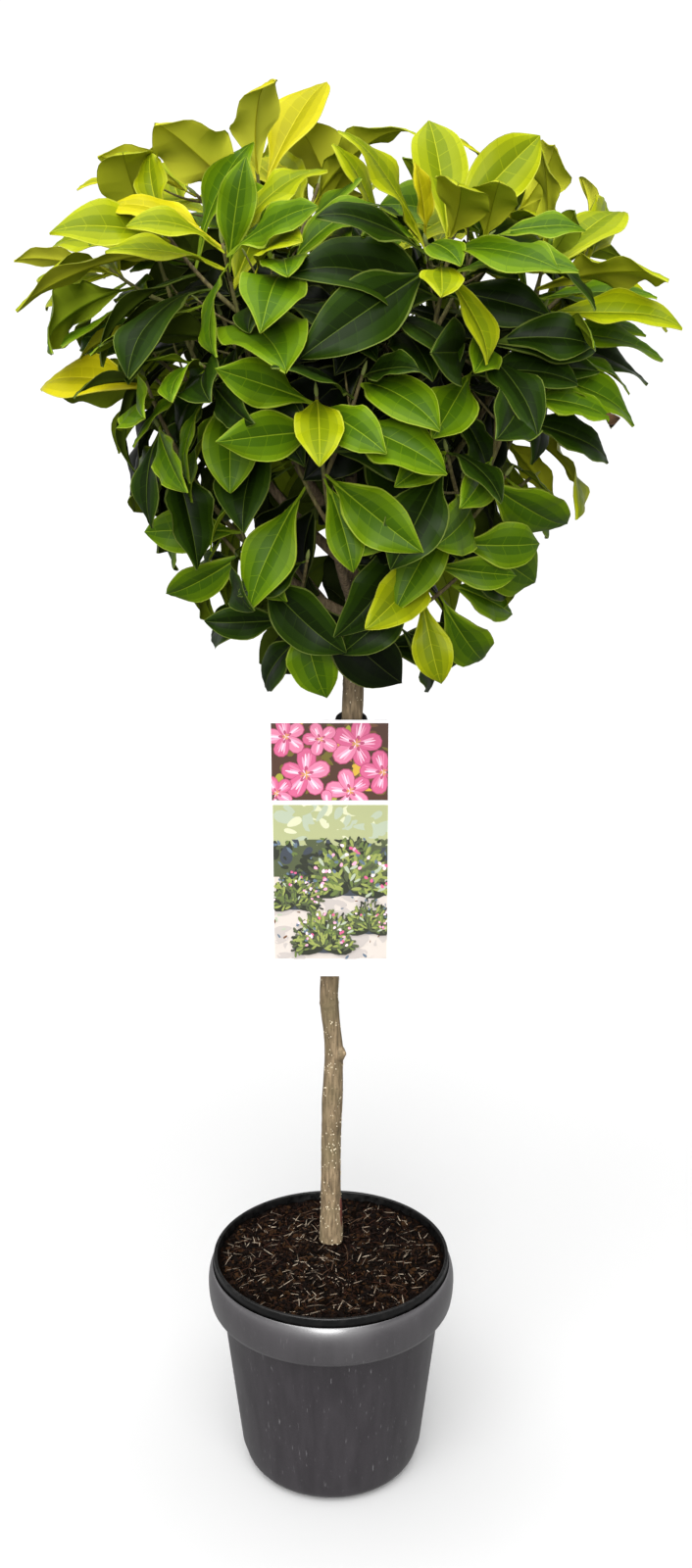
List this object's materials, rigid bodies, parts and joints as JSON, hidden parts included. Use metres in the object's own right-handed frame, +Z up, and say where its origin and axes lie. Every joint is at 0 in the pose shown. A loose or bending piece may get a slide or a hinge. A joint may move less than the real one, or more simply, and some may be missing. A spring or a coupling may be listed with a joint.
{
  "type": "potted standard magnolia",
  "caption": "Young magnolia grown as a standard: one slim clear stem under a loose leafy head, in a nursery pot inside a round outer pot, with a hang label strapped to the stem.",
  "frame": {"origin": "middle of the outer pot's flat underside, where the plant stands", "axes": "+Z up along the stem, -Y towards the front, where the hang label faces, +X to the right seen from the front"},
  "size_m": [0.4926, 0.4454, 1.1859],
  "materials": {
    "outer_pot": "satin",
    "nursery_pot": "matte",
    "soil": "rough",
    "bark": "rough",
    "leaves": "satin",
    "label": "laminated",
    "strap": "matte"
  },
  "bodies": {
    "root": {"pot": "outer_pot", "nursery_pot": "nursery_pot", "soil": "soil", "trunk": "bark", "label": "label", "strap": "strap", "bough_front_right": "bark", "bough_front_left": "bark", "bough_right": "bark", "bough_left": "bark", "bough_top_left": "bark", "bough_back_right": "bark", "bough_back": "bark", "bough_back_left": "bark", "bough_waist_front": "bark", "bough_waist_left": "bark", "bough_waist_right": "bark", "bough_waist_back_right": "bark", "bough_waist_back": "bark", "bough_waist_back_left": "bark", "foliage_front_right": "leaves", "foliage_front_left": "leaves", "foliage_right": "leaves", "foliage_left": "leaves", "foliage_top_left": "leaves", "foliage_back_right": "leaves", "foliage_back": "leaves", "foliage_back_left": "leaves", "foliage_waist_front": "leaves", "foliage_waist_left": "leaves", "foliage_waist_right": "leaves", "foliage_waist_back_right": "leaves", "foliage_waist_back": "leaves", "foliage_waist_back_left": "leaves", "foliage_skirt_left": "leaves", "foliage_skirt_right": "leaves", "foliage_skirt_back": "leaves", "foliage_leader": "leaves"}
  },
  "joints": []
}
